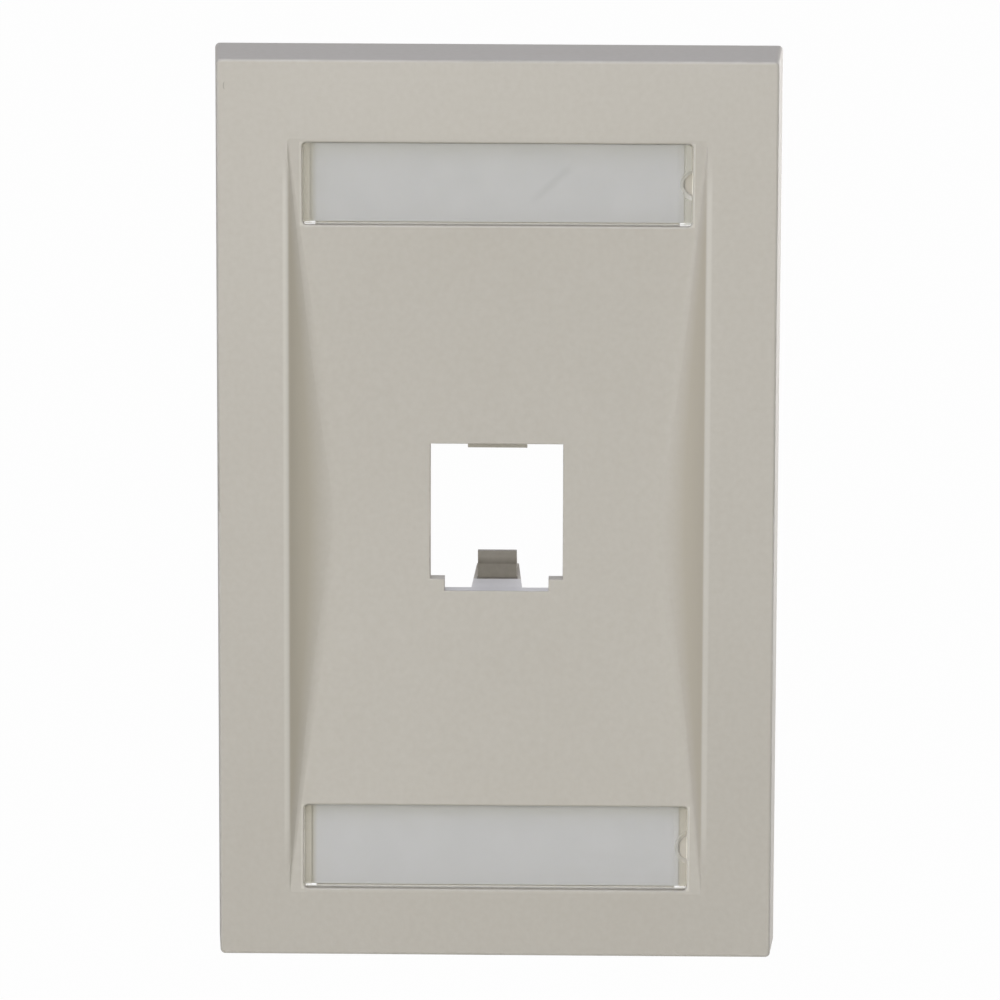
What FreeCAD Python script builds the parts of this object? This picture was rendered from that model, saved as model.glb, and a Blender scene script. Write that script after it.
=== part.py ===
import FreeCAD, Part
import math
import os

# Single-gang wall faceplate with one keystone module port and two label windows.
# Millimetres.  X is the width, Z is up, the face looks towards -Y and the wall plane is y = 0.
# The origin is the middle of the two mounting screw holes, on the wall plane.

# ---- outer moulding ----
plate_width = 69.85          # at the wall plane
plate_height = 114.3         # at the wall plane
plate_depth = 9.2            # wall plane to the flat rim
side_flare = 0.6             # how far each side spreads from the rim to the wall
corner_radius = 0.6          # the four upright corners
rim_edge_radius = 0.35       # rounding where the rim meets the sides
skirt_wall = 2.0             # thickness of the four side walls
face_wall = 2.1              # thickness of the face

# ---- hollowed face ----
face_drop = 0.85             # the hollow and the windows are centred this far below the screws
hollow_depth = 3.0           # at the middle
hollow_side_margin = 1.75    # from a window's side to the hollow's upright edge
hollow_end_margin = 0.47     # from a window's outer edge to the end of the hollow
hollow_wall_angle = 52.0     # slope of each side wall at the rim, against the rim plane
hollow_foot_angle = 4.0      # slope left at the wall's foot, at full depth
hollow_cove = 4.0            # radius between side wall and floor, at the middle
hollow_end_cove = 0.3        # the same, at the ends
hollow_lip = 0.75            # rounding between side wall and rim
hollow_overrun = 0.9         # the cutting form stands this far proud of the rim

# ---- label pockets ----
label_past_screw = 0.3       # each window's middle lies this far outside its screw, before the drop
window_width = 47.85
window_height = 10.45
window_corner = 0.6
window_edge_radius = 0.25
cover_recess = 0.3           # the cover lies this far below the face
cover_thickness = 1.0
cover_side_gap = 0.1         # left and right of the cover
cover_edge_gap = 0.12        # above and below the cover
cover_seat_gap = 0.03        # under the cover
card_side_margin = 1.075     # from a window's side to the card
card_edge_margin = 0.275     # from a window's upper or lower edge to the card
card_thickness = 0.25
card_gap = 0.12              # round the card in its shallow recess
pocket_floor = 1.1           # floor under the card
pocket_wall = 1.5            # wall round the pocket, behind the face
notch_radius = 1.55          # half-round pry notch at the right end of the cover
notch_offset = 0.55          # the notch's centre lies this far past the cover's end
notch_bevel = 0.45           # bevel round that notch
core_hole_width = 1.4        # moulding core holes in the pocket corners
core_hole_inset = 0.15       # from the pocket's end wall
core_hole_reach = 0.4        # past the pocket's long walls, behind the front lip
core_hole_overlap = 0.1      # back under the cover's edge
core_lip = 0.55              # front lip left over the core holes

# ---- mounting screws ----
screw_pitch = 83.3           # standard single-gang spacing
screw_hole_radius = 2.0
screw_head_radius = 3.4
screw_head_angle = 82.0      # included angle of the countersink
pillar_radius = 4.6

# ---- module port ----
port_width = 16.4
port_top = 8.2               # above the origin
port_bottom = 8.95           # below the origin
port_notch_width = 12.9
port_notch_depth = 1.5       # below the port's lower edge
port_edge_radius = 0.15
latch_depth = 5.6            # face of the port to the two catch faces
cradle_gap = 0.3             # port edge to the cradle's side walls
cradle_wall = 1.3
cradle_depth = 0.6           # the cradle stops this far short of the wall plane
roof_width = 7.4
roof_wall = 1.5
catch_drop = 1.64            # how far the catch hangs below the port's upper edge
catch_length = 1.6           # along Y
tongue_root_width = 6.3
tongue_tip_width = 5.25
tongue_thickness = 1.2
tongue_rise = 0.9            # climb from the root to the tip
tongue_length = 9.4          # from the back of the face to the tip
hook_height = 3.45           # above the tongue
hook_step = 1.7              # upright part of the catch face
hook_undercut = 0.45         # the upright part is set back this far under the catch edge
hook_top = 0.8
hook_width = 4.85

# ---- stiffening ribs ----
rib_thickness = 1.1
rib_height = 2.4
rib_rows = (20.0, 30.5)      # heights of the cross ribs, above and below the hollow's middle

# ---- worked out from the above ----
rim_y = -plate_depth
label_pitch = screw_pitch + 2 * label_past_screw
card_width = window_width - 2 * card_side_margin
card_height = window_height - 2 * card_edge_margin
hollow_width = window_width + 2 * hollow_side_margin
hollow_length = label_pitch + window_height + 2 * hollow_end_margin
hollow_radius = (hollow_length ** 2 / 4 + hollow_depth ** 2) / (2 * hollow_depth)
hollow_axis_y = rim_y + hollow_depth - hollow_radius
wall_angle = math.radians(hollow_wall_angle)
wall_radius = hollow_depth / (math.cos(math.radians(hollow_foot_angle)) - math.cos(wall_angle))
face_middle_y = rim_y + hollow_depth
port_back_y = face_middle_y + face_wall
ledge_depth = cover_recess + cover_thickness + cover_seat_gap
card_floor_depth = ledge_depth + card_thickness + card_gap / 2
tray_back_depth = card_floor_depth + pocket_floor
catch_y = face_middle_y + latch_depth
notch_floor_z = -port_bottom - port_notch_depth
reach = 3 * plate_depth      # cutting solids run this far past the moulding


def box(x0, x1, y0, y1, z0, z1):
    return Part.makeBox(x1 - x0, y1 - y0, z1 - z0, FreeCAD.Vector(x0, y0, z0))


def rounded_rectangle(width, height, radius, y, middle_z=0.0):
    """Closed wire in a plane of constant y, with rounded corners."""
    half_w, half_h = width / 2, height / 2
    edges = []
    corners = [(1, 1, 0), (-1, 1, 90), (-1, -1, 180), (1, -1, 270)]
    arcs = []
    for sx, sz, start in corners:
        cx, cz = sx * (half_w - radius), middle_z + sz * (half_h - radius)
        points = []
        for turn in (0, 45, 90):
            a = math.radians(start + turn)
            points.append(FreeCAD.Vector(cx + radius * math.cos(a), y, cz + radius * math.sin(a)))
        arcs.append(points)
    for i, arc in enumerate(arcs):
        edges.append(Part.Arc(*arc).toShape())
        edges.append(Part.makeLine(arc[2], arcs[(i + 1) % 4][0]))
    return Part.Wire(edges)


def spreading_block(width, height, radius, y0, y1, flare_per_mm):
    """Block whose sides spread by flare_per_mm from y0 to y1; width and height are those at y = 0."""
    wires = []
    for y in (y0, y1):
        grow = 2 * flare_per_mm * y
        wires.append(rounded_rectangle(width + grow, height + grow, radius, y))
    return Part.makeLoft(wires, True, True)


def polygon_prism_z(points, z0, z1):
    """Prism along Z from (x, y) points."""
    vectors = [FreeCAD.Vector(x, y, z0) for x, y in points]
    face = Part.Face(Part.makePolygon(vectors + vectors[:1]))
    return face.extrude(FreeCAD.Vector(0, 0, z1 - z0))


def polygon_prism_x(points, x0, x1):
    """Prism along X from (y, z) points."""
    vectors = [FreeCAD.Vector(x0, y, z) for y, z in points]
    face = Part.Face(Part.makePolygon(vectors + vectors[:1]))
    return face.extrude(FreeCAD.Vector(x1 - x0, 0, 0))


def hollow_cylinder(extra):
    """The large cylinder whose surface is the floor of the hollow, grown by extra."""
    start = FreeCAD.Vector(-plate_width, hollow_axis_y, -face_drop)
    return Part.makeCylinder(hollow_radius + extra, 2 * plate_width, start, FreeCAD.Vector(1, 0, 0))


def hollow_half(extra, end):
    """Upper (end 1) or lower (end -1) half of what the hollow takes out of the face, grown by extra."""
    radius = wall_radius + extra
    centre_x = hollow_width / 2 - wall_radius * math.sin(wall_angle)
    centre_y = rim_y - wall_radius * math.cos(wall_angle)
    front_y = rim_y - hollow_overrun

    def at(side, angle):
        return FreeCAD.Vector(side * (centre_x + radius * math.sin(angle)), centre_y + radius * math.cos(angle), 0)

    def in_front(side):
        top = at(side, wall_angle)
        return top + FreeCAD.Vector(side * (top.y - front_y) / math.tan(wall_angle), front_y - top.y, 0)

    edges = [Part.makeLine(in_front(-1), at(-1, wall_angle)),
             Part.Arc(at(-1, wall_angle), at(-1, wall_angle / 2), at(-1, 0)).toShape(),
             Part.makeLine(at(-1, 0), at(1, 0)),
             Part.Arc(at(1, 0), at(1, wall_angle / 2), at(1, wall_angle)).toShape(),
             Part.makeLine(at(1, wall_angle), in_front(1)),
             Part.makeLine(in_front(1), in_front(-1))]
    trough = Part.Face(Part.Wire(edges)).extrude(FreeCAD.Vector(0, 0, end * plate_height))
    trough.translate(FreeCAD.Vector(0, 0, -face_drop))
    return trough.common(hollow_cylinder(extra))


def hollow_cut():
    """The hollow itself.  The cove along the foot of each wall narrows from the middle to the ends."""
    halves = []
    for end in (1, -1):
        half = hollow_half(0, end)
        for side in (1, -1):
            foot = [e for e in half.Edges if on_hollow_floor(e) and e.BoundBox.ZLength > hollow_length / 4
                    and side * e.CenterOfMass.x > 0][0]
            radii = (hollow_cove, hollow_end_cove)
            if abs(foot.firstVertex().Point.z) > abs(foot.lastVertex().Point.z):
                radii = radii[::-1]
            half = half.makeFillet(*radii, [foot])
        halves.append(half)
    return halves[0].fuse(halves[1])


def on_hollow_floor(edge):
    near = 1e-4
    return all(abs(math.hypot(p.y - hollow_axis_y, p.z + face_drop) - hollow_radius) < near
               for p in edge.discretize(5))


def hollow_lips():
    """Rounds the upright edges between rim and side walls, fading out where the hollow gets shallow."""
    setback = hollow_lip * math.tan(wall_angle / 2)
    shallow = hollow_end_cove
    lips = []
    for side in (-1, 1):
        corner = FreeCAD.Vector(side * hollow_width / 2, rim_y, 0)
        on_rim = corner + FreeCAD.Vector(side * setback, 0, 0)
        on_wall = corner + FreeCAD.Vector(-side * setback * math.cos(wall_angle), setback * math.sin(wall_angle), 0)
        centre = on_rim + FreeCAD.Vector(0, hollow_lip, 0)
        middle = centre + (corner - centre).normalize() * hollow_lip
        above = FreeCAD.Vector(0, -hollow_lip, 0)
        over_wall = FreeCAD.Vector(on_wall.x, on_rim.y, 0) + above
        wire = Part.Wire([Part.Arc(on_rim, middle, on_wall).toShape(), Part.makeLine(on_wall, over_wall),
                          Part.makeLine(over_wall, on_rim + above), Part.makeLine(on_rim + above, on_rim)])
        strip = Part.Face(wire).extrude(FreeCAD.Vector(0, 0, 2 * plate_height))
        strip.translate(FreeCAD.Vector(0, 0, -plate_height))
        lips.append(strip.common(hollow_cylinder(-shallow)))
    return lips


def window_middle(side):
    """Height of the middle of the upper (side 1) or lower (side -1) window."""
    return side * label_pitch / 2 - face_drop


def window_tilt(side):
    """Angle of the face at the window's middle, in degrees about X."""
    return math.degrees(math.asin(side * label_pitch / 2 / hollow_radius))


def face_y(side, depth):
    """Y of the plane that lies depth below the face, at the window's middle height."""
    tilt = math.radians(window_tilt(side))
    return hollow_axis_y + hollow_radius * math.cos(tilt) + depth / math.cos(tilt)


def tangent_slab(side, depth0, depth1):
    """Slab parallel to the face at the window's middle, between two depths below the face there."""
    slab = box(-plate_width, plate_width, depth0, depth1, -plate_width, plate_width)
    slab.rotate(FreeCAD.Vector(0, 0, 0), FreeCAD.Vector(1, 0, 0), window_tilt(side))
    slab.translate(FreeCAD.Vector(0, face_y(side, 0), window_middle(side)))
    return slab


def window_prism(side, width, height, corner):
    """Block with the outline of a window, straight through the moulding along Y."""
    outline = rounded_rectangle(width, height, corner, rim_y - reach / 2, window_middle(side))
    return Part.Face(outline).extrude(FreeCAD.Vector(0, reach, 0))


def pocket_cut(side):
    """Pocket for the cover, with the shallow recess for the card in its floor."""
    cover_pocket = window_prism(side, window_width, window_height, window_corner)
    cover_pocket = cover_pocket.common(tangent_slab(side, -hollow_depth, ledge_depth))
    card_recess = window_prism(side, card_width + 2 * card_gap, card_height + 2 * card_gap, card_gap)
    return cover_pocket.fuse(card_recess.common(tangent_slab(side, 0, card_floor_depth)))


def pocket_tray(side):
    """Floor and walls that carry the pocket behind the face."""
    width = window_width + 2 * pocket_wall
    height = window_height + 2 * pocket_wall
    block = window_prism(side, width, height, window_corner + pocket_wall)
    return block.common(tangent_slab(side, face_wall / 2, tray_back_depth))


def core_holes(side):
    """Four small holes through the pocket's corners, open to the back and reaching behind the front lip."""
    holes = []
    outer_x = window_width / 2 - core_hole_inset
    outer_z = window_height / 2 + core_hole_reach
    inner_z = window_height / 2 - cover_edge_gap - core_hole_overlap
    middle = window_middle(side)
    for sx in (-1, 1):
        for sz in (-1, 1):
            x0, x1 = sorted((sx * outer_x, sx * (outer_x - core_hole_width)))
            z0, z1 = sorted((middle + sz * inner_z, middle + sz * outer_z))
            hole = box(x0, x1, rim_y, reach, z0, z1)
            holes.append(hole.common(tangent_slab(side, core_lip, reach)))
    return holes


def screw_hole(side):
    """Countersunk clearance hole, from the label pocket to the wall plane."""
    z = side * screw_pitch / 2
    floor_y = screw_seat_y(side)
    cone_depth = (screw_head_radius - screw_hole_radius) / math.tan(math.radians(screw_head_angle / 2))
    along = FreeCAD.Vector(0, 1, 0)
    shank = Part.makeCylinder(screw_hole_radius, reach, FreeCAD.Vector(0, floor_y - 1, z), along)
    head = Part.makeCone(screw_head_radius, screw_hole_radius, cone_depth, FreeCAD.Vector(0, floor_y, z), along)
    mouth = Part.makeCylinder(screw_head_radius, 1, FreeCAD.Vector(0, floor_y - 1, z), along)
    return shank.fuse([head, mouth])


def screw_seat_y(side):
    """Where the card recess floor crosses the screw's axis."""
    rise = side * screw_pitch / 2 - window_middle(side)
    return face_y(side, card_floor_depth) - rise * math.tan(math.radians(window_tilt(side)))


def screw_pillar(side):
    """Pillar that carries the screw head's pull straight to the wall plane."""
    z = side * screw_pitch / 2
    start_y = screw_seat_y(side) + pocket_floor / 2
    return Part.makeCylinder(pillar_radius, -start_y, FreeCAD.Vector(0, start_y, z), FreeCAD.Vector(0, 1, 0))


def port_cut():
    """Module port: square opening with a shallower, narrower notch below it."""
    y0, y1 = rim_y, port_back_y + hollow_depth
    opening = box(-port_width / 2, port_width / 2, y0, y1, -port_bottom, port_top)
    notch = box(-port_notch_width / 2, port_notch_width / 2, y0, y1, notch_floor_z, -port_bottom + 1)
    return opening.fuse(notch)


def cradle():
    """Two side walls and the roof with its catch, behind the port."""
    inner_x = port_width / 2 + cradle_gap
    back_y = -cradle_depth
    front_y = face_middle_y + face_wall / 2
    walls = []
    for side in (-1, 1):
        x0, x1 = sorted((side * inner_x, side * (inner_x + cradle_wall)))
        walls.append(box(x0, x1, front_y, back_y, notch_floor_z - tongue_thickness, port_top + roof_wall))
    back = catch_y + catch_length
    roof = [(front_y, port_top), (catch_y, port_top), (catch_y, port_top - catch_drop),
            (catch_y + catch_length / 3, port_top - catch_drop), (back, port_top),
            (back, port_top + roof_wall), (front_y, port_top + roof_wall)]
    walls.append(polygon_prism_x(roof, -roof_width / 2, roof_width / 2))
    bridge = box(-inner_x, inner_x, front_y, back_y, port_top + cradle_gap, port_top + roof_wall)
    walls.append(bridge)
    return walls


def latch_tongue():
    """Springy tongue under the port, ending in a hook with a ramp on its far side."""
    root_y = port_back_y
    tip_y = root_y + tongue_length
    slope = tongue_rise / tongue_length

    def top(y):
        return notch_floor_z + slope * (y - root_y)

    foot_y = catch_y + hook_undercut
    hook_top_z = top(foot_y) + hook_height
    hook = [(foot_y, top(foot_y) - tongue_thickness / 2), (foot_y, top(foot_y) + hook_step),
            (catch_y, hook_top_z), (catch_y + hook_top, hook_top_z),
            (tip_y, top(tip_y)), (tip_y, top(tip_y) - tongue_thickness / 2)]
    start_y = face_middle_y + face_wall / 2
    blade = [(start_y, notch_floor_z), (root_y, notch_floor_z), (tip_y, top(tip_y)),
             (tip_y, top(tip_y) - tongue_thickness), (root_y, notch_floor_z - tongue_thickness),
             (start_y, notch_floor_z - tongue_thickness)]
    plan = [(-tongue_root_width / 2, start_y), (tongue_root_width / 2, start_y),
            (tongue_root_width / 2, root_y), (tongue_tip_width / 2, tip_y),
            (-tongue_tip_width / 2, tip_y), (-tongue_root_width / 2, root_y)]
    wide = tongue_root_width
    tapered = polygon_prism_x(blade, -wide, wide).common(polygon_prism_z(plan, -plate_height, plate_height))
    return tapered.fuse(polygon_prism_x(hook, -hook_width / 2, hook_width / 2))


def stiffening_ribs():
    """Two upright ribs beside the cradle and cross ribs to the skirt, on the back of the face."""
    ribs = []
    rib_back = port_back_y + rib_height
    inner_x = port_width / 2 + cradle_gap
    z_end = label_pitch / 2 - window_height / 2
    for side in (-1, 1):
        x0, x1 = sorted((side * inner_x, side * (inner_x + rib_thickness)))
        ribs.append(box(x0, x1, rim_y + face_wall, rib_back, -face_drop - z_end, -face_drop + z_end))
    for row in rib_rows:
        for side in (-1, 1):
            z = -face_drop + side * row
            half = plate_width / 2 - skirt_wall / 2
            ribs.append(box(-half, half, rim_y + face_wall, rib_back, z - rib_thickness / 2, z + rib_thickness / 2))
    return ribs


def soften_front_edges(body):
    """Rounds the front edges of the two windows and of the port."""
    near = 1e-3

    def on_window_outline(p, side):
        dx = abs(p.x) - (window_width / 2 - window_corner)
        dz = abs(p.z - window_middle(side)) - (window_height / 2 - window_corner)
        outside = math.hypot(max(dx, 0), max(dz, 0)) + min(max(dx, dz), 0) - window_corner
        return abs(outside) < near and p.y < face_y(side, cover_recess) - p_rise(p, side)

    def p_rise(p, side):
        return (p.z - window_middle(side)) * math.tan(math.radians(window_tilt(side)))

    def in_port(p):
        return abs(p.x) < port_width / 2 + near and notch_floor_z - near < p.z < port_top + near

    window_edges = [e for e in body.Edges
                    if any(all(on_window_outline(p, side) for p in e.discretize(5)) for side in (1, -1))]
    body = body.makeFillet(window_edge_radius, window_edges)
    port_edges = [e for e in body.Edges if on_hollow_floor(e) and all(in_port(p) for p in e.discretize(5))]
    return body.makeFillet(port_edge_radius, port_edges)


def label_cover(side):
    """Clear strip that fills the window, with a bevelled pry notch at its right end."""
    width = window_width - 2 * cover_side_gap
    height = window_height - 2 * cover_edge_gap
    strip = window_prism(side, width, height, window_corner - cover_side_gap)
    strip = strip.common(tangent_slab(side, cover_recess, cover_recess + cover_thickness))
    notch = Part.makeCylinder(notch_radius, cover_thickness * 2)
    bevel = Part.makeCone(notch_radius + notch_bevel, notch_radius, notch_bevel)
    mouth = Part.makeCylinder(notch_radius + notch_bevel, cover_recess, FreeCAD.Vector(0, 0, -cover_recess))
    cutter = notch.fuse([bevel, mouth])
    cutter.rotate(FreeCAD.Vector(0, 0, 0), FreeCAD.Vector(1, 0, 0), window_tilt(side) - 90)
    front = FreeCAD.Vector(width / 2 + notch_offset, face_y(side, cover_recess), window_middle(side))
    cutter.translate(front)
    return strip.cut(cutter)


def label_card(side):
    """Blank card that lies in the recess under the cover."""
    card = window_prism(side, card_width, card_height, card_gap)
    return card.common(tangent_slab(side, card_floor_depth - card_thickness, card_floor_depth))


def faceplate():
    flare = side_flare / plate_depth
    outer = spreading_block(plate_width, plate_height, corner_radius, rim_y, 0, flare)
    inner_corner = max(corner_radius - skirt_wall, corner_radius / 2)
    inner = spreading_block(plate_width - 2 * skirt_wall, plate_height - 2 * skirt_wall, inner_corner,
                            rim_y + face_wall, plate_depth, flare)
    rim_edges = [e for e in outer.Edges if all(abs(v.Y - rim_y) < 1e-6 for v in e.Vertexes)]
    outer = outer.makeFillet(rim_edge_radius, rim_edges)
    backing = hollow_half(face_wall, 1).fuse(hollow_half(face_wall, -1))
    backing = backing.common(box(-plate_width, plate_width, rim_y + face_wall / 2, 0, -plate_height, plate_height))
    backing = backing.common(outer)
    body = outer.cut(inner).fuse(backing)
    additions = [pocket_tray(1), pocket_tray(-1), screw_pillar(1), screw_pillar(-1)]
    additions += stiffening_ribs() + cradle()
    body = body.fuse(additions)
    body = body.cut([hollow_cut()] + hollow_lips())
    body = body.cut([pocket_cut(1), pocket_cut(-1), port_cut()]).removeSplitter()
    body = soften_front_edges(body)
    body = body.fuse(latch_tongue()).removeSplitter()
    for side in (1, -1):
        body = body.cut(core_holes(side) + [screw_hole(side)])
    return body


os.makedirs("parts", exist_ok=True)
pieces = {
    "faceplate": faceplate(),
    "upper_label_cover": label_cover(1),
    "lower_label_cover": label_cover(-1),
    "upper_label_card": label_card(1),
    "lower_label_card": label_card(-1),
}
for name, shape in pieces.items():
    print(name, "valid" if shape.isValid() else "NOT VALID", len(shape.Solids), round(shape.Volume, 2))
    shape.exportStep(f"parts/{name}.step")
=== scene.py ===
# %% [markdown]
# # A wall faceplate for one snap-in module
# The real object is a wall plate for network cable: one warm white moulding with a hollowed face,
# a square port in its middle, and two windows that each hold a blank card under a clear strip. The
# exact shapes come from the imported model, so this lesson is about finish: a moulded grain, clear
# plastic, paper, a few marks of use, and a plain studio.

import math

import bpy
from mathutils import Matrix, Vector


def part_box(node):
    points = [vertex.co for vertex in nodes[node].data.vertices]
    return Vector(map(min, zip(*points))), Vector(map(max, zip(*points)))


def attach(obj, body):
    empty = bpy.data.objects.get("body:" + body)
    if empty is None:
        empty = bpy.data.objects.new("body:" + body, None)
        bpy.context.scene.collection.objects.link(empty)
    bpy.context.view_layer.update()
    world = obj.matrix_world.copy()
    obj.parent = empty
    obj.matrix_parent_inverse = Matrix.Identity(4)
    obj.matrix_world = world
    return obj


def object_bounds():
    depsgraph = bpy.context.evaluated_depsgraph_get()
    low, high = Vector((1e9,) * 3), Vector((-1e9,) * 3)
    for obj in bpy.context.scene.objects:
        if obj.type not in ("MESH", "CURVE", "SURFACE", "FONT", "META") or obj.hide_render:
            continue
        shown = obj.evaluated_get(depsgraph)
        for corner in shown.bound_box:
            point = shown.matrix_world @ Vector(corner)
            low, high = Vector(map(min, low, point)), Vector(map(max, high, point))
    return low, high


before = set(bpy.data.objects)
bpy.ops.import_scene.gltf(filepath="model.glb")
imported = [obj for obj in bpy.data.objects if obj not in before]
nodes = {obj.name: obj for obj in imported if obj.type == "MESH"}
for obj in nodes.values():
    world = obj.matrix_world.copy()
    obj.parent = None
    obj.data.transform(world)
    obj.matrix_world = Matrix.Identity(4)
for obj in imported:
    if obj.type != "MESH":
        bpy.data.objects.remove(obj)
cad_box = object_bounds()
MM = 0.001
print("pieces:", sorted(nodes))
print("box in mm:", [[round(v / MM, 2) for v in corner] for corner in cad_box])

# %% [markdown]
# ## Sums on sockets
# A finish is mostly arithmetic on noise and coordinates. Wiring Math nodes by hand is slow to read,
# so one small class wraps a socket and lets Python's own signs add the nodes. The reflected forms
# make `1 - mask` work as well as `mask - 1`. Three more methods cut a mask from 0 to 1 out of a
# value: below a limit, above it, or near a middle, each with a soft edge.

# %% A socket that takes part in sums


def join(tree, target, value):
    """Links a Wire to a socket, or sets the socket to a plain value."""
    if isinstance(value, Wire):
        tree.links.new(value.socket, target)
    else:
        target.default_value = value


class Wire:
    """The output of a node, which adds a Math node for each sign used on it."""

    def __init__(self, tree, socket):
        self.tree = tree
        self.socket = socket

    def math(self, operation, *values, clamp=False):
        """Adds a Math node that works on the given values, in their order."""
        node = self.tree.nodes.new("ShaderNodeMath")
        node.operation = operation
        node.use_clamp = clamp
        for place, value in enumerate(values):
            join(self.tree, node.inputs[place], value)
        return Wire(self.tree, node.outputs[0])

    def __add__(self, other):
        return self.math("ADD", self, other)

    def __radd__(self, other):
        return self.math("ADD", other, self)

    def __sub__(self, other):
        return self.math("SUBTRACT", self, other)

    def __rsub__(self, other):
        return self.math("SUBTRACT", other, self)

    def __mul__(self, other):
        return self.math("MULTIPLY", self, other)

    def __rmul__(self, other):
        return self.math("MULTIPLY", other, self)

    def __abs__(self):
        return self.math("ABSOLUTE", self)

    def root(self):
        return self.math("SQRT", self)

    def at_most(self, other):
        return self.math("MINIMUM", self, other)

    def at_least(self, other):
        return self.math("MAXIMUM", self, other)

    def past(self, limit):
        """1 where the value is over limit, and 0 elsewhere, with no soft edge."""
        return self.math("GREATER_THAN", self, limit)

    def below(self, limit, soft):
        """1 where the value is under limit, falling to 0 over the width soft."""
        return self.math("DIVIDE", limit + soft - self, soft, clamp=True)

    def above(self, limit, soft):
        """1 where the value is over limit, falling to 0 over the width soft."""
        return self.math("DIVIDE", self - (limit - soft), soft, clamp=True)

    def near(self, middle, reach, soft):
        """1 within reach of middle, falling to 0 over the width soft."""
        return abs(self - middle).below(reach, soft)


# %% [markdown]
# ## One way to add any other node
# A material is opened by its name with an empty tree, and `add` puts in any node: first its
# settings, then the values or links of its sockets. The finishes read Object coordinates, because
# every piece sits at the origin and so a pattern stays on the piece when the piece moves.

# %% A material being made


class Finish:
    """A material whose nodes are added one call at a time."""

    def __init__(self, name):
        self.material = bpy.data.materials.new(name)
        self.material.use_nodes = True
        self.tree = self.material.node_tree
        self.tree.nodes.clear()
        self.place = self.add("ShaderNodeTexCoord", out="Object")

    def add(self, kind, settings=None, out=0, **sockets):
        """Adds a node, sets it up and returns the asked output as a Wire."""
        node = self.tree.nodes.new(kind)
        for name, value in (settings or {}).items():
            setattr(node, name, value)
        for name, value in sockets.items():
            name = name.replace("_", " ")
            key = int(name[6:]) if name.startswith("input ") else name
            join(self.tree, node.inputs[key], value)
        return Wire(self.tree, node.outputs[out])

    def noise(self, per_metre, detail=2.0, roughness=0.5, place=None):
        """Noise between 0 and 1, with about so many cells in a metre."""
        return self.add("ShaderNodeTexNoise", Vector=place or self.place, Scale=per_metre,
                        Detail=detail, Roughness=roughness)

    def axes(self):
        """The X, Y and Z of the surface point, in metres."""
        parts = self.add("ShaderNodeSeparateXYZ", Vector=self.place)
        outputs = parts.socket.node.outputs
        return [Wire(self.tree, outputs[i]) for i in range(3)]

    def blend(self, amount, first, second):
        """A colour that goes from first to second as amount goes from 0 to 1."""
        return self.add("ShaderNodeMix", {"data_type": "RGBA"}, out=2,
                        input_0=amount, input_6=first, input_7=second)

    def bump(self, height, depth, strength=1.0):
        """A normal that makes height stand up to depth out of the surface."""
        return self.add("ShaderNodeBump", Height=height, Distance=depth, Strength=strength)

    def finish(self, surface):
        """Closes the tree with the given shader and returns the material."""
        out = self.tree.nodes.new("ShaderNodeOutputMaterial")
        self.tree.links.new(surface.socket, out.inputs["Surface"])
        return self.material


def dress(name, material):
    """Gives a piece of the exact model its finish."""
    for slot in nodes[name].material_slots:
        slot.material = material


# %% [markdown]
# ## Where the features lie
# Marks of use, painted light and painted shade belong to edges, corners and recesses, so the finish
# has to know where these are. The rim and the middle of the face are read from the imported model's
# boxes. The hollow and the windows are cut into one moulding, which has no box for them, so their
# sizes are named here. `Face` turns the X, Y and Z of a surface point into the distances that the
# masks are cut from.

# %% Where the features lie
COVERS = ("upper_label_cover", "lower_label_cover")
plate_low, plate_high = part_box("faceplate")
RIM_Y = plate_low[1]
FACE_MIDDLE = (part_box(COVERS[0])[0][2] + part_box(COVERS[1])[1][2]) / 2
HOLLOW_DEPTH = 3.0 * MM
HOLLOW_RADIUS = 379.8 * MM
HOLLOW_SIDE = 25.95 * MM
WINDOW_MIDDLE = 41.95 * MM
WINDOW_HALF_WIDTH = 23.9 * MM
WINDOW_HALF_HEIGHT = 5.2 * MM


class Face:
    """Where a point of the moulding lies among the features of its face, in metres.

    aside is the distance from the middle plane, off_floor how far the point stands in front of the
    hollow's floor, and in_window its height over the middle of the window in its half of the plate.
    """

    def __init__(self, make):
        self.x, self.y, self.z = make.axes()
        self.aside = abs(self.x)
        past_middle = self.z - FACE_MIDDLE
        sag = past_middle * past_middle * (0.5 / HOLLOW_RADIUS)
        self.off_floor = RIM_Y + HOLLOW_DEPTH - sag - self.y
        in_upper = self.z.past(0.0)
        self.in_window = past_middle + WINDOW_MIDDLE - in_upper * (2 * WINDOW_MIDDLE)


print("rim at", round(RIM_Y / MM, 2), "mm, middle of the face at", round(FACE_MIDDLE / MM, 3), "mm")

# %% [markdown]
# ## Marks on the rim and the hollow
# Years of hands leave the rim's outer edge a touch paler and the hollow's upright edges smoother,
# and a paler paint along those upright edges is a painted highlight. The hollow's side walls are
# painted a warmer, darker tone than the floor, as painted shade.
# Each mark is a function that returns a mask, a number from 0 to 1 over the whole moulding, made by
# multiplying plain limits. That is easier to place than a painted picture, and it needs no file.
# A mask without a limit on Y shows on the hidden side too. The upright edges' mask and the nick's
# have none, and leave faint traces on the ribs and the back edge. That is a fault, and it is left.

# %% Rim and hollow
RIM_NOISE_PER_METRE = 500
NICK_X = -33.45 * MM
NICK_Z = 53.3 * MM
NICK_BEND_PER_METRE = 420


def rubbed_rim(make, face):
    """The outer edge of the rim, rubbed in patches."""
    side = face.aside.above(plate_high[0] - 0.425 * MM, soft=0.5 * MM)
    end = abs(face.z).above(plate_high[2] - 0.45 * MM, soft=0.5 * MM)
    edge = (side + end) * face.y.below(RIM_Y + 0.2 * MM, soft=0.3 * MM)
    return edge.math("MULTIPLY", edge, make.noise(RIM_NOISE_PER_METRE, detail=2), clamp=True)


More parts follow.
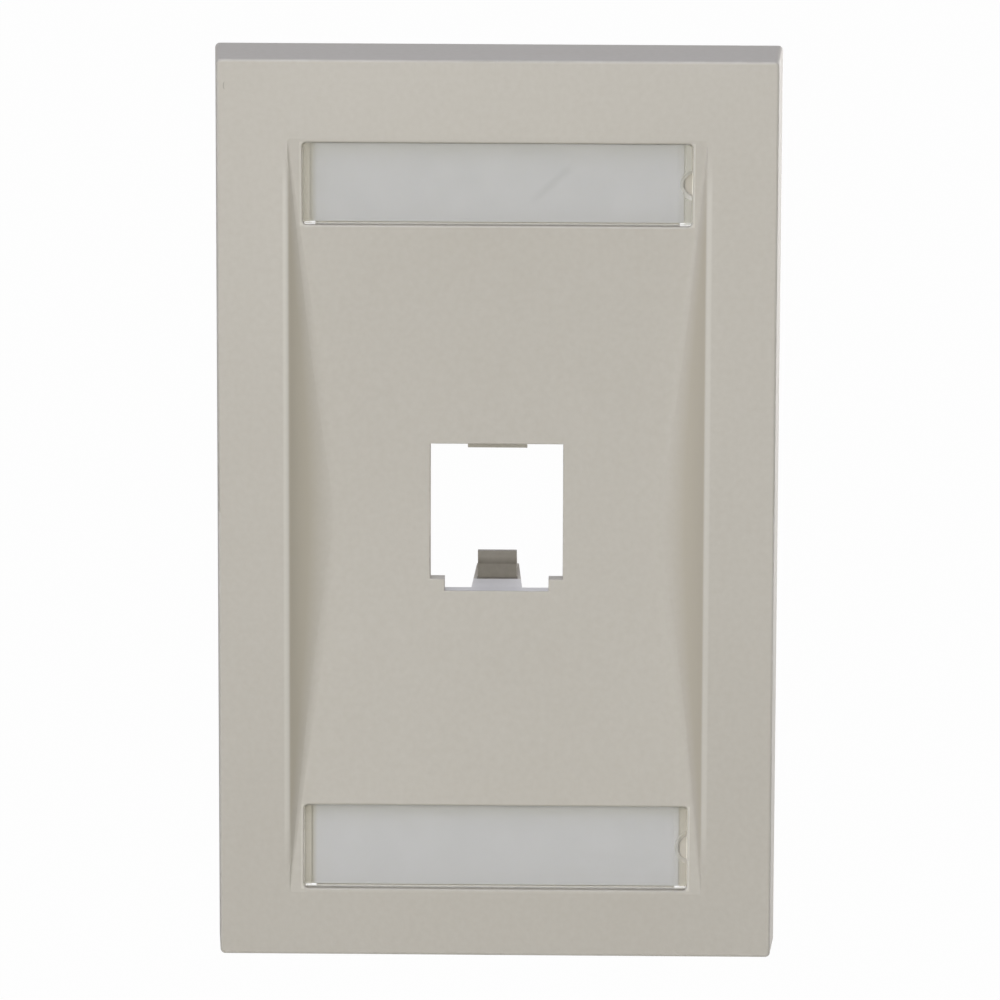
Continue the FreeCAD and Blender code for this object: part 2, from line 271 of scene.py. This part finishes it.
def wall_painted_shade(face):
    """The two side walls of the hollow, above its floor and below the rim, painted darker as shade.
    """
    steep = face.off_floor.above(1.0 * MM, soft=1.0 * MM)
    steep = steep * face.y.above(RIM_Y + 0.2 * MM, soft=0.15 * MM)
    inside = face.aside.below(HOLLOW_SIDE - 0.25 * MM, soft=0.2 * MM)
    return steep * inside * abs(face.z).below(47 * MM, soft=0.5 * MM)


def smooth_lip_and_highlight(face):
    """The upright edges of the hollow, smooth along the middle of their length, painted paler there
    as a highlight.
    """
    edge = face.aside.near(HOLLOW_SIDE, reach=0.22 * MM, soft=0.22 * MM)
    return edge * abs(face.z).below(40 * MM, soft=5 * MM)


def nick(face):
    """A short nick, curved like a nail mark, near the rim's upper left corner."""
    along = face.z - NICK_Z
    across = abs(face.x - NICK_X - along * along * NICK_BEND_PER_METRE)
    return across.below(0.03 * MM, soft=0.05 * MM) * abs(along).below(0.35 * MM, soft=0.2 * MM)


print("nick at", round(NICK_X / MM, 2), round(NICK_Z / MM, 2), "mm")

# %% [markdown]
# ## Marks at the windows
# The windows' rounded side edges, their walls and the foot of each tray under the card are painted
# pale: painted light that lifts the shade in these narrow recesses. The slit between a strip and the
# sill of its window is painted as one thin brown line of shade. The masks of the side edges and the
# walls have no limit at the back either, and draw thin pale lines on the hidden backs of the trays.

# %% Windows


def window_edge(face):
    """The rounded side edges of the two windows, painted pale as light."""
    edge = face.aside.near(WINDOW_HALF_WIDTH + 0.12 * MM, reach=0.16 * MM, soft=0.06 * MM)
    return edge * abs(face.in_window).below(WINDOW_HALF_HEIGHT, soft=0.2 * MM)


def window_painted_light(face, side_edge):
    """The windows' walls below their rounded edge and each tray's foot under the card: painted
    light.
    """
    between = face.aside.below(WINDOW_HALF_WIDTH, soft=0.2 * MM)
    top = face.in_window.near(WINDOW_HALF_HEIGHT + 0.05 * MM, reach=0.15 * MM, soft=0.05 * MM)
    walls = side_edge * 0.9 + top * between * 0.6
    foot = face.in_window.near(0.1 * MM - WINDOW_HALF_HEIGHT, reach=0.30 * MM, soft=0.05 * MM)
    walls = walls * face.off_floor.below(-0.2 * MM, soft=0.1 * MM)
    return walls + foot * between * face.off_floor.below(-1.2 * MM, soft=0.1 * MM) * 0.4


def sill_painted_shade(face):
    """The slit between each strip and the sill below it, painted dark as shade."""
    sill = face.in_window.near(-WINDOW_HALF_HEIGHT - 0.05 * MM, reach=0.15 * MM, soft=0.05 * MM)
    slit = face.off_floor.near(-0.65 * MM, reach=0.45 * MM, soft=0.1 * MM)
    return sill * slit * face.aside.below(WINDOW_HALF_WIDTH, soft=0.2 * MM)


print("windows' middles lie", round(WINDOW_MIDDLE / MM, 2), "mm from the middle of the face")

# %% [markdown]
# ## Marks at the port
# A module slides in over the lower edge of the port and clips behind the latch hook. The upward
# faces of that edge are painted pale as light from above, and the hook's catch face, deep in the
# port, is painted grey as shade, darkest at its foot.

# %% Port
# Noise that breaks up the painted shade on the hook's catch face.
HOOK_SHADE_NOISE_PER_METRE = 1400


def slide_way(face):
    """The lower edge of the port and the latch tongue, where modules slide in, painted pale as
    light.
    """
    way = face.aside.below(6.5 * MM, soft=0.1 * MM)
    way = way * face.z.near(-10.35 * MM, reach=0.42 * MM, soft=0.05 * MM)
    return way * face.y.near(-3.4 * MM, reach=2.6 * MM, soft=0.1 * MM)


def hook_painted_shade(make, face):
    """The catch face of the latch hook, painted dark as shade deep in the port."""
    on_hook = face.aside.below(2.5 * MM, soft=0.1 * MM)
    on_hook = on_hook * face.y.near(-0.35 * MM, reach=0.45 * MM, soft=0.1 * MM)
    on_hook = on_hook * face.z.near(-8.4 * MM, reach=1.9 * MM, soft=0.2 * MM)
    foot = face.z.below(-8.2 * MM, soft=0.8 * MM)
    return on_hook * (0.66 + foot * 0.26 - make.noise(HOOK_SHADE_NOISE_PER_METRE, detail=3) * 0.12)


print("port marks made with", HOOK_SHADE_NOISE_PER_METRE, "cells of noise in a metre")

# %% [markdown]
# ## The moulding
# The plate is a warm white engineering plastic out of a spark-eroded mould, which leaves a very
# fine, soft grain on every face. Plain white would look like paper. So the colour drifts a little
# over centimetres, as pigment does, the grain is a shallow bump, and the gloss varies with it. The
# marks of use and the painted light and shade are then laid over the base colour one by one, each
# with its own paint.

# %% Moulded plastic
PLASTIC_PALE = (0.540, 0.510, 0.466, 1)
PLASTIC_DEEP = (0.502, 0.470, 0.424, 1)
CLOUDS_PER_METRE = 38
GRAIN_PER_METRE = 2600
GRAIN_DEPTH = 0.012 * MM

RIM_PALE = (0.72, 0.70, 0.66, 1)
# Painted shade colour for the hollow's side walls.
WALL_SHADE = (0.465, 0.425, 0.355, 1)
# Painted highlight colour for the hollow's upright edges.
LIP_HIGHLIGHT = (0.63, 0.605, 0.56, 1)
NICK_GREY = (0.20, 0.185, 0.16, 1)
# Painted light colours for the windows' edges, walls and tray feet, which lift their shade.
WINDOW_EDGE_LIGHT = (0.72, 0.69, 0.63, 1)
WINDOW_LIGHT = (0.93, 0.90, 0.84, 1)
# Painted shade colour for the slit below each strip.
SILL_SHADE_BROWN = (0.22, 0.19, 0.145, 1)
# Painted light colour for the upward faces at the port's lower edge.
SLIDE_LIGHT = (0.79, 0.78, 0.78, 1)
# Painted shade colour for the hook's catch face.
HOOK_SHADE_GREY = (0.12, 0.105, 0.085, 1)


def moulded_plastic():
    make = Finish("moulded_warm_white")
    face = Face(make)
    cloud = make.noise(CLOUDS_PER_METRE, detail=3)
    speck = make.noise(GRAIN_PER_METRE / 2, detail=1)
    tone = (cloud - 0.5) * 0.9 + (speck - 0.5) * 1.2 + 0.5
    colour = make.blend(tone, PLASTIC_DEEP, PLASTIC_PALE)
    lip = smooth_lip_and_highlight(face)
    side_edge = window_edge(face)
    cut = nick(face)
    marks = [
        (rubbed_rim(make, face) * 0.8, RIM_PALE),
        # painted shade on the hollow's side walls
        (wall_painted_shade(face) * 0.9, WALL_SHADE),
        # painted highlight on the hollow's upright edges
        (lip * 0.5, LIP_HIGHLIGHT),
        # painted light on the windows' edges, walls and tray feet
        (side_edge * 0.5, WINDOW_EDGE_LIGHT),
        (window_painted_light(face, side_edge), WINDOW_LIGHT),
        # painted shade in the slit below each strip
        (sill_painted_shade(face) * 0.5, SILL_SHADE_BROWN),
        (cut * 0.45, NICK_GREY),
        # painted light on the port's lower edge
        (slide_way(face) * 0.85, SLIDE_LIGHT),
        # painted shade on the hook's catch face
        (hook_painted_shade(make, face), HOOK_SHADE_GREY),
    ]
    for amount, paint in marks:
        colour = make.blend(amount, colour, paint)
    grain = make.noise(GRAIN_PER_METRE, detail=3, roughness=0.6)
    normal = make.bump(grain - cut * 2, GRAIN_DEPTH)
    surface = make.add("ShaderNodeBsdfPrincipled", Base_Color=colour,
                       Roughness=0.46 + grain * 0.14 - lip * 0.20, Normal=normal)
    return make.finish(surface)


plastic = moulded_plastic()
dress("faceplate", plastic)
print("moulded plastic:", len(plastic.node_tree.nodes), "nodes")

# %% [markdown]
# ## The clear covers
# Each cover is a thin strip of clear acrylic or polycarbonate. A full glass shader would put the
# card under it in the shade, because light does not find its way back through refraction. A strip
# this thin hardly bends what is behind it, so it is mixed from see-through and gloss, with more
# gloss at a glancing angle. A faint haze keeps it from vanishing. Three of the four ends, and most
# of all the upper strip's right tip, take a pale milky gloss that is painted light over the shaded
# slits beside the cards. The bevel round the half-round pry notch is a little frosted, as a cut edge
# is.

# %% Clear plastic
NOTCH_PAST_END = 0.55 * MM
BEVEL_RADIUS = 1.80 * MM
# Where the painted light at the covers' ends begins.
PAINTED_END_FROM = 23.2 * MM
TIP_FROM = 23.0 * MM
HAZE_PER_METRE = 160
CLEAR = (0.997, 0.998, 0.997, 1)
HAZE_GREY = (0.80, 0.81, 0.79, 1)
# Pale gloss colours for the ends and the tip, painted light over the shaded slits.
END_LIGHT_WARM = (0.80, 0.76, 0.68, 1)
TIP_LIGHT = (0.79, 0.775, 0.72, 1)


def notch_distance(x, z):
    """Distance, seen from the front, from the middle of the nearer cover's pry notch."""
    gaps = []
    for name in COVERS:
        low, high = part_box(name)
        across = x - (high[0] + NOTCH_PAST_END)
        up = z - (low[2] + high[2]) / 2
        gaps.append((across * across + up * up).root())
    return gaps[0].at_most(gaps[1])


def clear_plastic():
    make = Finish("clear_strip")
    x, _, z = make.axes()
    haze = make.noise(HAZE_PER_METRE, detail=3).above(0.62, soft=0.2)
    upper = z.above(1 * MM, soft=1 * MM)
    left = x.below(-PAINTED_END_FROM, soft=1.2 * MM)
    right = x.above(PAINTED_END_FROM, soft=1.2 * MM)
    tip = x.above(TIP_FROM, soft=0.2 * MM) * upper
    bevel = notch_distance(x, z).near(BEVEL_RADIUS, reach=0.16 * MM, soft=0.12 * MM)
    milky = make.blend(left + right, HAZE_GREY, END_LIGHT_WARM)
    milky = make.blend(tip, milky, TIP_LIGHT)
    through = make.add("ShaderNodeBsdfTransparent", Color=CLEAR)
    gloss = make.add("ShaderNodeBsdfPrincipled", Base_Color=milky, Roughness=0.10 + haze * 0.10)
    glance = make.add("ShaderNodeFresnel", IOR=1.49)
    share = (glance * 0.5 + haze * 0.02).at_most(0.35)
    # the ends and the upper right tip take more pale gloss, as painted light
    share = share + left * upper * 0.21 + right * 0.16 + tip * 0.15 + bevel * 0.26
    surface = make.add("ShaderNodeMixShader", input_0=share, input_1=through, input_2=gloss)
    return make.finish(surface)


clear = clear_plastic()
for name in COVERS:
    dress(name, clear)
print("clear plastic:", len(clear.node_tree.nodes), "nodes")

# %% [markdown]
# ## The cards
# The blanks are cut from plain office card. Card is matt and neutral, and close up it shows a
# cloudy, slightly felted surface, so a stretched noise is mixed with a finer one. Its left end is
# painted a darker, warm tone as the shadow of the window's left wall, and the spot that the pry
# notch bares is painted the same, partly as a stain and partly as painted shade. A faint grey rub
# slants up to the right on the upper card.

# %% Card
CARDS = ("upper_label_card", "lower_label_card")
CARD_DEEP = (0.60, 0.592, 0.612, 1)
CARD_PALE = (0.63, 0.622, 0.642, 1)
# Painted shade, and stain at the notch, for the card's left end and bared spot.
CARD_SHADE_AND_STAIN = (0.50, 0.47, 0.41, 1)
CARD_CLOUDS_PER_METRE = 120
FELT_PER_METRE = 4200
FELT_DEPTH = 0.01 * MM
BARED_RADIUS = 1.45 * MM
RUB_X = 6.75 * MM
RUB_Z = 41.1 * MM
RUB_RUN = 0.73
RUB_RISE = 0.68
RUB_NOISE_PER_METRE = 900
RUB_GREY = (0.45, 0.45, 0.46, 1)


def card_rub(make, x, z):
    """A faint slanting rub, broken up by noise."""
    right, up = x - RUB_X, z - RUB_Z
    along = right * RUB_RUN + up * RUB_RISE
    across = up * RUB_RUN - right * RUB_RISE
    rub = abs(along).below(2.4 * MM, soft=1.4 * MM) * abs(across).below(0.15 * MM, soft=0.55 * MM)
    return rub * (0.12 + make.noise(RUB_NOISE_PER_METRE, detail=3) * 0.3)


def card_stock():
    make = Finish("blank_card")
    x, _, z = make.axes()
    cloud = make.noise(CARD_CLOUDS_PER_METRE, detail=4)
    stretched = make.add("ShaderNodeMapping", Vector=make.place, Scale=(0.35, 1, 1))
    felt = make.noise(FELT_PER_METRE, detail=3, place=stretched)
    tone = (cloud - 0.5) * 0.7 + (felt - 0.5) * 0.6 + 0.5
    colour = make.blend(tone, CARD_DEEP, CARD_PALE)
    end = x.below(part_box(CARDS[0])[0][0], soft=0.6 * MM)
    bared = notch_distance(x, z).below(BARED_RADIUS, soft=0.15 * MM)
    # painted shade at the left end, shade and stain at the bared spot
    colour = make.blend((end * 0.8).at_least(bared * 0.9), colour, CARD_SHADE_AND_STAIN)
    colour = make.blend(card_rub(make, x, z), colour, RUB_GREY)
    surface = make.add("ShaderNodeBsdfPrincipled", Base_Color=colour, Roughness=0.85 - felt * 0.1,
                       Normal=make.bump(felt, FELT_DEPTH, strength=0.5))
    return make.finish(surface)


card = card_stock()
for name in CARDS:
    dress(name, card)
print("card:", len(card.node_tree.nodes), "nodes")

# %% [markdown]
# ## A recipe for Geometry Nodes
# A Geometry Nodes tree is built the same way as a material: named sizes go in as inputs of the
# tree, so that they can be changed on the modifier later, and every node comes from one call.

# %% A recipe being made


class Recipe:
    """A Geometry Nodes tree whose nodes are added one call at a time."""

    def __init__(self, name):
        self.tree = bpy.data.node_groups.new(name, "GeometryNodeTree")
        for way in ("INPUT", "OUTPUT"):
            self.tree.interface.new_socket("Geometry", in_out=way, socket_type="NodeSocketGeometry")
        self.entry = self.tree.nodes.new("NodeGroupInput")
        self.exit = self.tree.nodes.new("NodeGroupOutput")

    def size(self, name, value):
        """Adds a named length to the tree's inputs."""
        socket = self.tree.interface.new_socket(name, in_out="INPUT", socket_type="NodeSocketFloat")
        socket.default_value = value
        return self.entry.outputs[name]

    def add(self, kind, settings=None, **sockets):
        """Adds a node, sets it up and returns it."""
        node = self.tree.nodes.new(kind)
        for name, value in (settings or {}).items():
            setattr(node, name, value)
        for name, value in sockets.items():
            target = node.inputs[name.replace("_", " ")]
            if isinstance(value, bpy.types.NodeSocket):
                self.tree.links.new(value, target)
            else:
                target.default_value = value
        return node


# %% [markdown]
# ## Ejector marks on the back
# Round steel pins push a moulding out of its tool, and each leaves a thin raised ring on the hidden
# side. The rings repeat and lie on a curved surface, which is work for Geometry Nodes. Their
# centres start as loose points behind the plate. Raycast drops each one on to the face's back and
# gives the normal there, and one small ring is set on every point, turned to that normal.

# %% Ejector marks
PIN_RADIUS = 2.2 * MM
RING_THICKNESS = 0.06 * MM
PIN_PLACES = [(20 * MM, 9.5 * MM), (18 * MM, 25.2 * MM), (17 * MM, 41.95 * MM)]
PIN_START = 10 * MM


def ejector_recipe(surface, material):
    make = Recipe("ejector_marks")
    radius = make.size("Pin radius", PIN_RADIUS)
    thickness = make.size("Ring thickness", RING_THICKNESS)
    back = make.add("GeometryNodeObjectInfo", Object=surface)
    hit = make.add("GeometryNodeRaycast", {"data_type": "FLOAT"},
                   Target_Geometry=back.outputs["Geometry"],
                   Ray_Direction=(0, -1, 0), Ray_Length=0.1)
    noted = make.add("GeometryNodeStoreNamedAttribute",
                     {"data_type": "FLOAT_VECTOR", "domain": "POINT"},
                     Geometry=make.entry.outputs["Geometry"], Name="lie",
                     Value=hit.outputs["Hit Normal"])
    landed = make.add("GeometryNodeSetPosition", Geometry=noted.outputs["Geometry"],
                      Position=hit.outputs["Hit Position"])
    circle = make.add("GeometryNodeCurvePrimitiveCircle", Resolution=40, Radius=radius)
    section = make.add("GeometryNodeCurvePrimitiveCircle", Resolution=6, Radius=thickness)
    ring = make.add("GeometryNodeCurveToMesh", Curve=circle.outputs["Curve"],
                    Profile_Curve=section.outputs["Curve"])
    lie = make.add("GeometryNodeInputNamedAttribute", {"data_type": "FLOAT_VECTOR"}, Name="lie")
    turn = make.add("FunctionNodeAlignRotationToVector", {"axis": "Z"},
                    Vector=lie.outputs["Attribute"])
    rings = make.add("GeometryNodeInstanceOnPoints", Points=landed.outputs["Geometry"],
                     Instance=ring.outputs["Mesh"], Rotation=turn.outputs["Rotation"])
    real = make.add("GeometryNodeRealizeInstances", Geometry=rings.outputs["Instances"])
    dressed = make.add("GeometryNodeSetMaterial", Geometry=real.outputs["Geometry"],
                       Material=material)
    make.tree.links.new(dressed.outputs["Geometry"], make.exit.inputs["Geometry"])
    return make.tree


def ejector_marks():
    behind = plate_high[1] + PIN_START
    centres = [(side * x, behind, FACE_MIDDLE + end * z)
               for x, z in PIN_PLACES for side in (-1, 1) for end in (-1, 1)]
    seed = bpy.data.objects.new("pin_centres", bpy.data.meshes.new("pin_centres"))
    seed.data.from_pydata(centres, [], [])
    bpy.context.scene.collection.objects.link(seed)
    modifier = seed.modifiers.new("marks", "NODES")
    modifier.node_group = ejector_recipe(nodes["faceplate"], plastic)
    evaluated = seed.evaluated_get(bpy.context.evaluated_depsgraph_get())
    mesh = bpy.data.meshes.new_from_object(evaluated)
    mesh.name = "ejector_marks"
    bpy.data.objects.remove(seed)
    return bpy.data.objects.new("ejector_marks", mesh)


marks = ejector_marks()
bpy.context.scene.collection.objects.link(marks)
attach(marks, "plate")
print("ejector rings:", len(PIN_PLACES) * 4, "with", len(marks.data.polygons), "faces")

# %% [markdown]
# ## The floor
# A wall plate has nothing to stand on, so it hangs in a bright studio, well above a plain pale
# floor. The floor shows as white to the camera and in reflections, yet keeps a share of its own
# shading, so the plate's soft shadow would still fall on it.

# %% Floor
FLOOR_WHITE = 0.985
FLOOR_GREY = (0.90, 0.90, 0.90, 1)
PURE_WHITE = (1, 1, 1, 1)
FLOOR_DROP = 0.22
FLOOR_HALF = 30.0


def pale_floor():
    make = Finish("pale_floor")
    seen = make.add("ShaderNodeLightPath", out="Is Camera Ray")
    rays = seen.socket.node.outputs
    mirrored = Wire(make.tree, rays["Is Glossy Ray"])
    through = Wire(make.tree, rays["Is Transmission Ray"])
    share = (seen + mirrored + through).at_most(1.0)
    lit = make.add("ShaderNodeBsdfDiffuse", Color=FLOOR_GREY)
    white = make.add("ShaderNodeEmission", Color=PURE_WHITE, Strength=1.0)
    surface = make.add("ShaderNodeMixShader", input_0=share * FLOOR_WHITE,
                       input_1=lit, input_2=white)
    return make.finish(surface)


floor_z = cad_box[0][2] - FLOOR_DROP
floor_mesh = bpy.data.meshes.new("floor")
floor_corners = [(x * FLOOR_HALF, y * FLOOR_HALF, floor_z)
                 for x, y in ((-1, -1), (1, -1), (1, 1), (-1, 1))]
floor_mesh.from_pydata(floor_corners, [], [(0, 1, 2, 3)])
floor_mesh.materials.append(pale_floor())
floor = bpy.data.objects.new("floor", floor_mesh)
bpy.context.scene.collection.objects.link(floor)
print("floor lies", round(FLOOR_DROP, 3), "m below the plate")

# %% [markdown]
# ## The air
# The air round the plate fills the shadows, a little brighter from above and dimmer from below. It
# is a ramp over the direction's height. The camera and reflections see plain white instead, because
# the backdrop's brightness shouldn't change the light on the plate.

# %% Studio air
AIR_ABOVE = (0.135, 0.135, 0.145, 1)
AIR_LEVEL = (0.105, 0.10, 0.09, 1)
AIR_BELOW = (0.08, 0.08, 0.08, 1)


def studio_air():
    world = bpy.data.worlds.new("studio_air")
    bpy.context.scene.world = world
    world.use_nodes = True
    tree = world.node_tree
    tree.nodes.clear()
    direction = tree.nodes.new("ShaderNodeTexCoord")
    parts = tree.nodes.new("ShaderNodeSeparateXYZ")
    tree.links.new(direction.outputs["Generated"], parts.inputs[0])
    up = Wire(tree, parts.outputs[2])
    ramp = tree.nodes.new("ShaderNodeValToRGB")
    stops = ramp.color_ramp.elements
    stops[0].position, stops[0].color = 0.0, AIR_BELOW
    stops[1].position, stops[1].color = 1.0, AIR_ABOVE
    stops.new(0.5).color = AIR_LEVEL
    join(tree, ramp.inputs[0], up * 0.5 + 0.5)
    rays = tree.nodes.new("ShaderNodeLightPath").outputs
    seen = Wire(tree, rays["Is Camera Ray"])
    share = seen.at_least(Wire(tree, rays["Is Transmission Ray"]))
    share = share.at_least(Wire(tree, rays["Is Glossy Ray"]))
    air = tree.nodes.new("ShaderNodeBackground")
    join(tree, air.inputs["Color"], Wire(tree, ramp.outputs[0]))
    white = tree.nodes.new("ShaderNodeBackground")
    join(tree, white.inputs["Color"], PURE_WHITE)
    both = tree.nodes.new("ShaderNodeMixShader")
    for place, part in enumerate((share, Wire(tree, air.outputs[0]), Wire(tree, white.outputs[0]))):
        join(tree, both.inputs[place], part)
    out = tree.nodes.new("ShaderNodeOutputWorld")
    join(tree, out.inputs["Surface"], Wire(tree, both.outputs[0]))


studio_air()
print("air levels:", AIR_BELOW[0], AIR_LEVEL[0], AIR_ABOVE[0])

# %% [markdown]
# ## Light
# Four square soft lamps stand round the plate. A cool one high in front lights the top side, a warm
# one beside the camera lights the face, a weak cool one from the left tells the hollow's two side
# walls apart, and one behind on the right lights the hidden side for views from the back. The
# levels are set so that a colour comes out about as it is written.

# %% Soft lamps
LAMP_AWAY = 0.60
LAMP_SIZE = 0.35
LAMPS = [
    ("top_lamp", 0, 58, 0.37, (0.79, 0.83, 1.0)),
    ("front_lamp", -6, 12, 0.48, (1.0, 0.995, 0.85)),
    ("left_lamp", -48, 28, 0.15, (0.80, 0.80, 1.0)),
    ("rear_lamp", 140, 4, 0.50, (1.0, 0.98, 0.95)),
]


def toward(turn, rise):
    """The direction from the plate to a place turned right of the front and risen above it."""
    level = math.cos(rise)
    return Vector((math.sin(turn) * level, -math.cos(turn) * level, math.sin(rise)))


def soft_lamp(name, turn, rise, level, colour):
    """A square lamp aimed at the plate; level is what it makes of a white face turned to it."""
    lamp = bpy.data.lights.new(name, "AREA")
    lamp.size = LAMP_SIZE
    lamp.color = colour
    lamp.energy = level * math.pi ** 2 * LAMP_AWAY ** 2
    holder = bpy.data.objects.new(name, lamp)
    bpy.context.scene.collection.objects.link(holder)
    way = toward(math.radians(turn), math.radians(rise))
    holder.location = way * LAMP_AWAY
    holder.rotation_euler = way.to_track_quat("Z", "Y").to_euler()
    print(name, "stands", LAMP_AWAY, "m away,", rise, "degrees up")


for name, turn, rise, level, colour in LAMPS:
    soft_lamp(name, turn, rise, level, colour)

# %% [markdown]
# ## Camera
# The plate is looked at from a little above and almost straight on, with a long lens from about a
# metre, so that its sides stay nearly parallel. Azimuth 0 looks along +Y.

# %% Camera
LOOK_AT = Vector((0.45, -9.2, 1.77)) * MM
CAMERA_TURN = math.radians(0.9)
CAMERA_RISE = math.radians(12.4)
CAMERA_ROLL = math.radians(0.18)
CAMERA_AWAY = 0.925
LENS = 269.9

lens = bpy.data.cameras.new("camera")
lens.lens = LENS
lens.sensor_width = 36
lens.clip_start = 0.01
lens.clip_end = 100
camera = bpy.data.objects.new("camera", lens)
bpy.context.scene.collection.objects.link(camera)
backwards = toward(CAMERA_TURN, CAMERA_RISE)
camera.matrix_world = (Matrix.Translation(LOOK_AT + backwards * CAMERA_AWAY)
                       @ backwards.to_track_quat("Z", "Y").to_matrix().to_4x4()
                       @ Matrix.Rotation(CAMERA_ROLL, 4, "Z"))
bpy.context.scene.camera = camera
bpy.context.scene.view_settings.view_transform = "Standard"
print("camera at", [round(v, 3) for v in camera.location])
